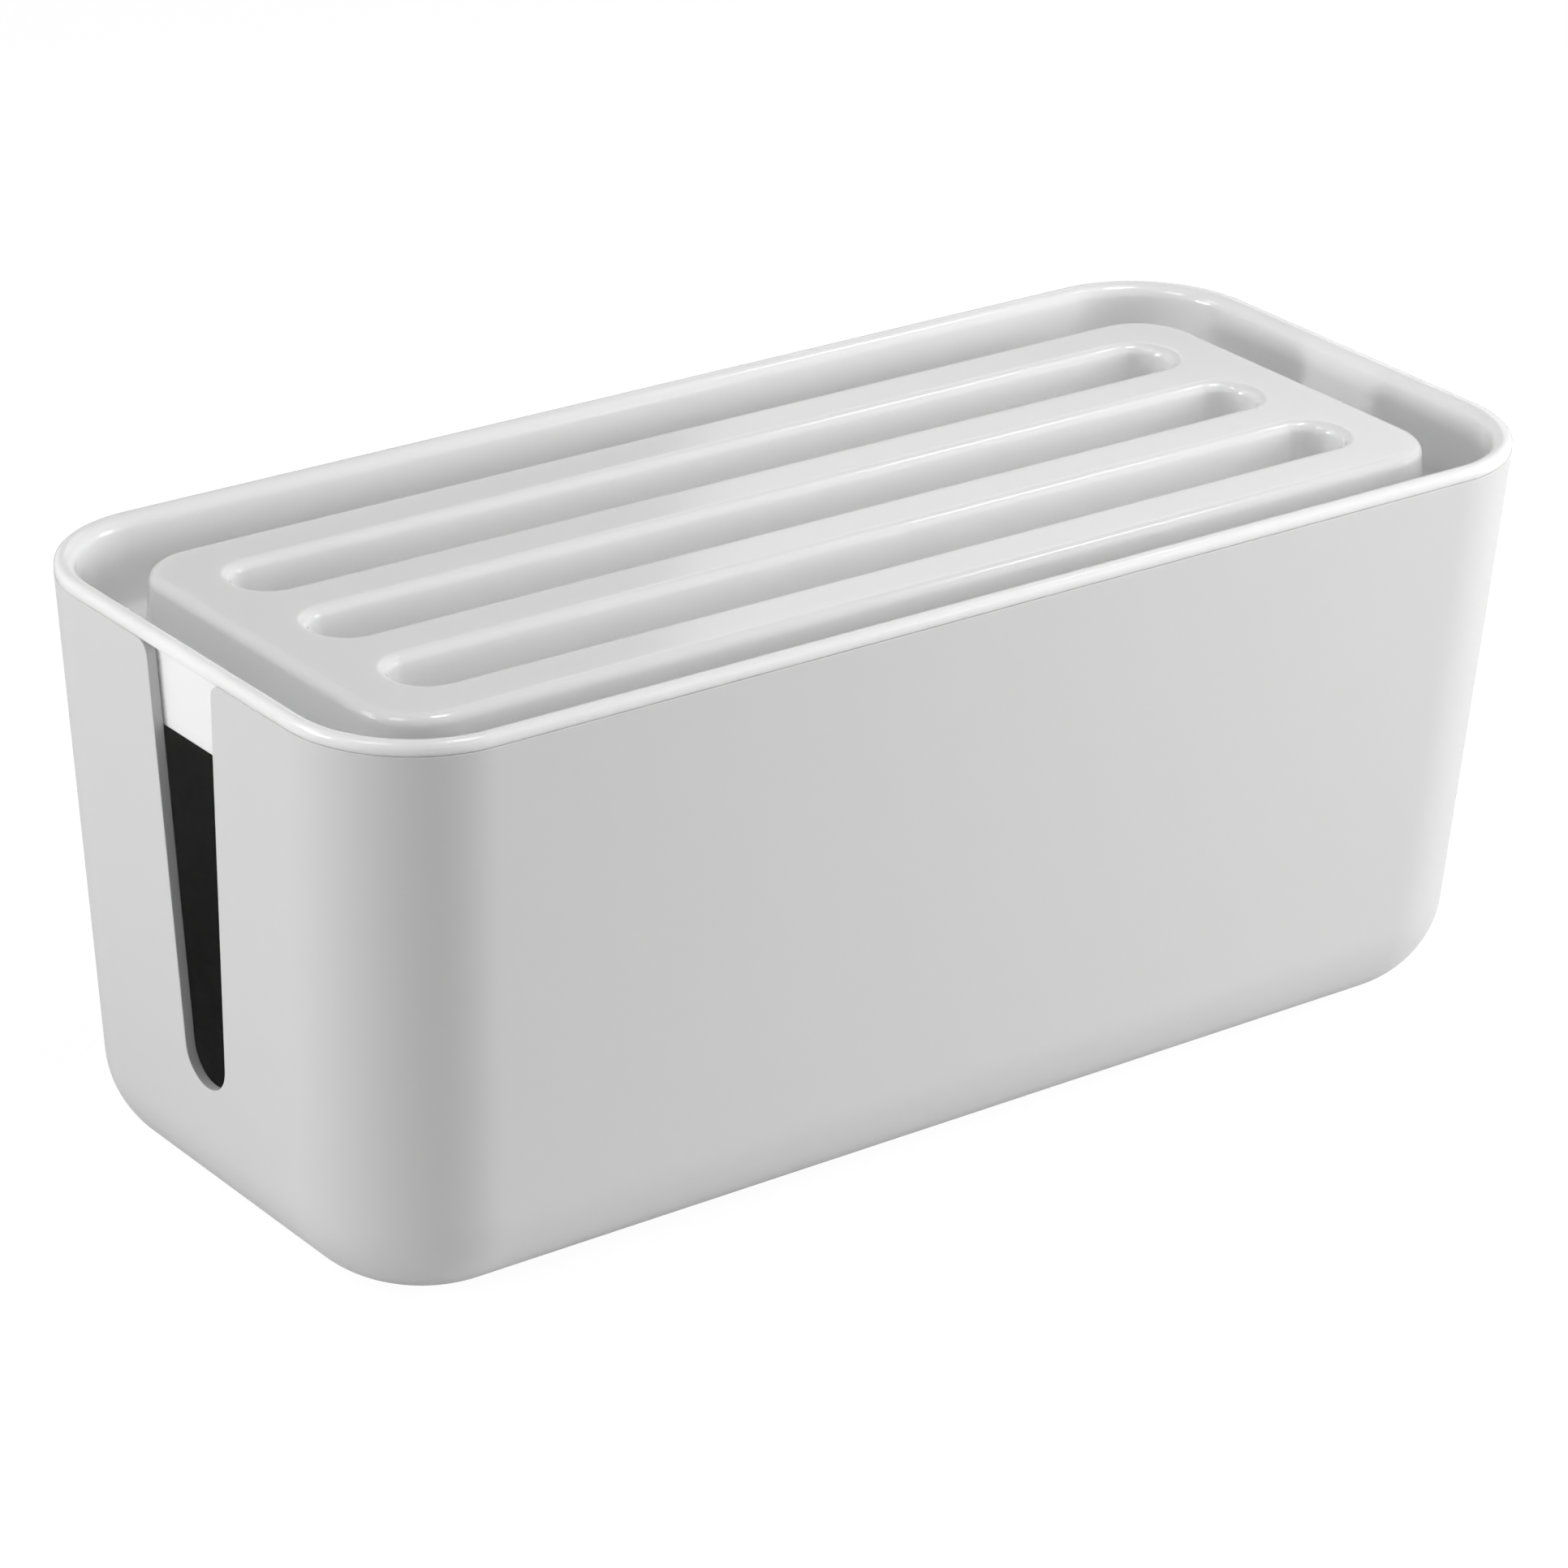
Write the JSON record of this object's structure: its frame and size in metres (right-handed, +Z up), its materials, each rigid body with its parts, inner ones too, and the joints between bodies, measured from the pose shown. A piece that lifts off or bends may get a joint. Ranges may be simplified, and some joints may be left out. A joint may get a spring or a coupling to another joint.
{
  "type": "cable management box",
  "caption": "Long box that hides a power strip: a drafted tub with an upright cable slot in each end and a lift-off tray lid with grooves that stand phones and tablets.",
  "frame": {"origin": "on the surface that the feet stand on, under the centre of the tub", "axes": "+X along the length, towards the right end; +Y to the back; +Z up"},
  "size_m": [0.32, 0.142, 0.137],
  "materials": {
    "tub_plastic": "fine matte grain, light grey white",
    "lid_plastic": "smooth satin, slightly translucent white",
    "foot_rubber": "plain moulded"
  },
  "bodies": {
    "base": {"tub": "tub_plastic", "foot_front_left": "foot_rubber", "foot_front_right": "foot_rubber", "foot_rear_left": "foot_rubber", "foot_rear_right": "foot_rubber"},
    "lid": {"lid": "lid_plastic"}
  },
  "joints": [
    {"name": "lid_lift", "type": "slide", "parent": "base", "child": "lid", "axis": [0, 0, 1], "range_m": [0, 0.06]}
  ]
}
